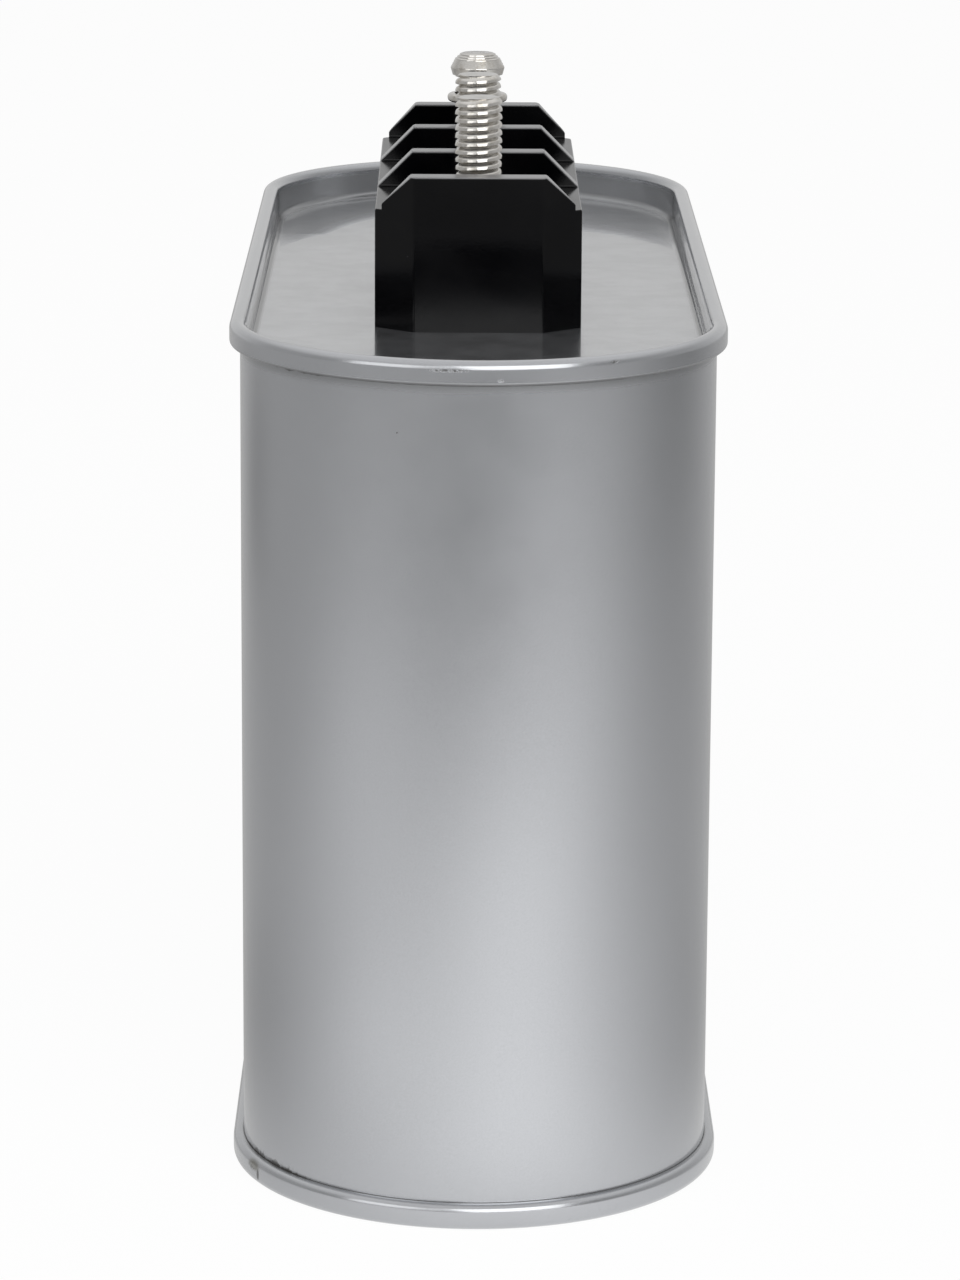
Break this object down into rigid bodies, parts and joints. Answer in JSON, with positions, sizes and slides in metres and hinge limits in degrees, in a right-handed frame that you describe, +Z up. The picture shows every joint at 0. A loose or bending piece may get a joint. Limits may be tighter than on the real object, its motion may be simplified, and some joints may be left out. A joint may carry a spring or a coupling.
{
  "type": "power factor correction capacitor",
  "caption": "Oval seamed metal can with a finned terminal block and threaded studs on its lid, a capacitor that corrects the power factor of a supply.",
  "frame": {"origin": "middle of the can's underside, on the surface that it stands on", "axes": "+Z up through the studs, +Y along the row of studs and the long side of the oval, +X across it"},
  "size_m": [0.0606, 0.1708, 0.1293],
  "materials": {
    "can_paint": "satin silver-grey metallic paint",
    "block_plastic": "glossy black moulding",
    "plated_steel": "bright plated thread",
    "tinned_copper": "tinned",
    "film_roll": "metallised film",
    "white_plastic": "plain",
    "insulating_board": "pressed board",
    "black_rubber": "plain",
    "resistor_coat": "plain"
  },
  "bodies": {
    "root": {"can_body": "can_paint", "top_lid": "can_paint", "bottom_end": "can_paint", "terminal_block": "block_plastic", "front_stud": "plated_steel", "middle_stud": "plated_steel", "rear_stud": "plated_steel", "rear_stud_cap": "plated_steel", "rear_stud_ring": "plated_steel", "base_washers": "plated_steel", "base_nuts": "plated_steel", "front_solder_tag": "tinned_copper", "front_feed_lead": "tinned_copper", "front_return_lead": "tinned_copper", "middle_solder_tag": "tinned_copper", "middle_feed_lead": "tinned_copper", "middle_return_lead": "tinned_copper", "rear_solder_tag": "tinned_copper", "rear_feed_lead": "tinned_copper", "rear_return_lead": "tinned_copper", "front_winding": "film_roll", "middle_winding": "film_roll", "rear_winding": "film_roll", "front_core_tube": "white_plastic", "middle_core_tube": "white_plastic", "rear_core_tube": "white_plastic", "insulating_sleeve": "white_plastic", "clamp_plate": "insulating_board", "bottom_insulator": "insulating_board", "lid_gasket": "black_rubber", "front_discharge_resistor": "resistor_coat", "rear_discharge_resistor": "resistor_coat"}
  },
  "joints": []
}
